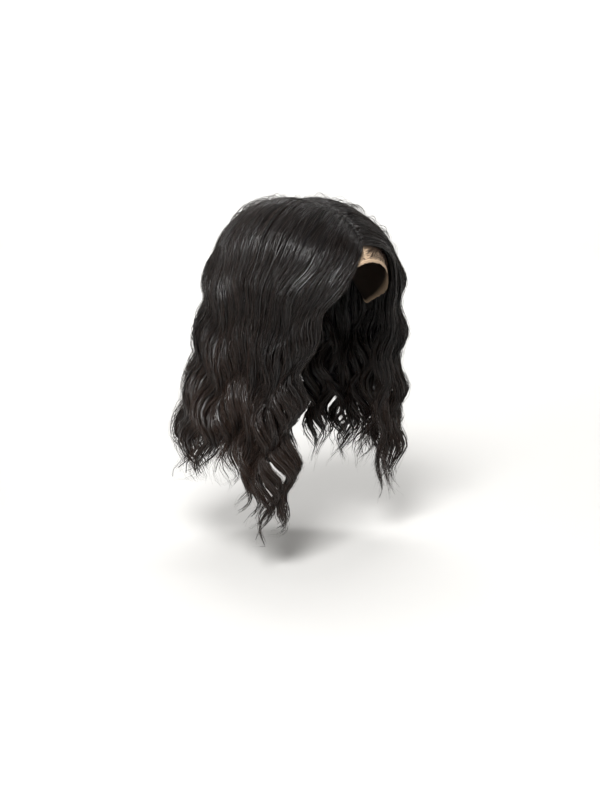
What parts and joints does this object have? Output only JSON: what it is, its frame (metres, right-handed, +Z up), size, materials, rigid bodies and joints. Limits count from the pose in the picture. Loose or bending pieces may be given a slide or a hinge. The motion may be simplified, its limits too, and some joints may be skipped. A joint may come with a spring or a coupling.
{
  "type": "lace front wig",
  "caption": "Shoulder-length off-black body wave wig with a centre part, hair in wavy locks on a hollow net cap with a sheer lace front.",
  "frame": {"origin": "inside of the cap at its top, where the wearer's head carries it", "axes": "+Z up, the wearer faces -Y, and +X is to the wearer's left"},
  "size_m": [0.259, 0.2411, 0.3725],
  "materials": {
    "sheer_lace": "matte",
    "cap_net": "matte",
    "hair": "satin"
  },
  "bodies": {
    "root": {"lace_front": "sheer_lace", "wig_cap": "cap_net", "front_hair_right": "hair", "front_hair_left": "hair", "back_hair": "hair"}
  },
  "joints": []
}
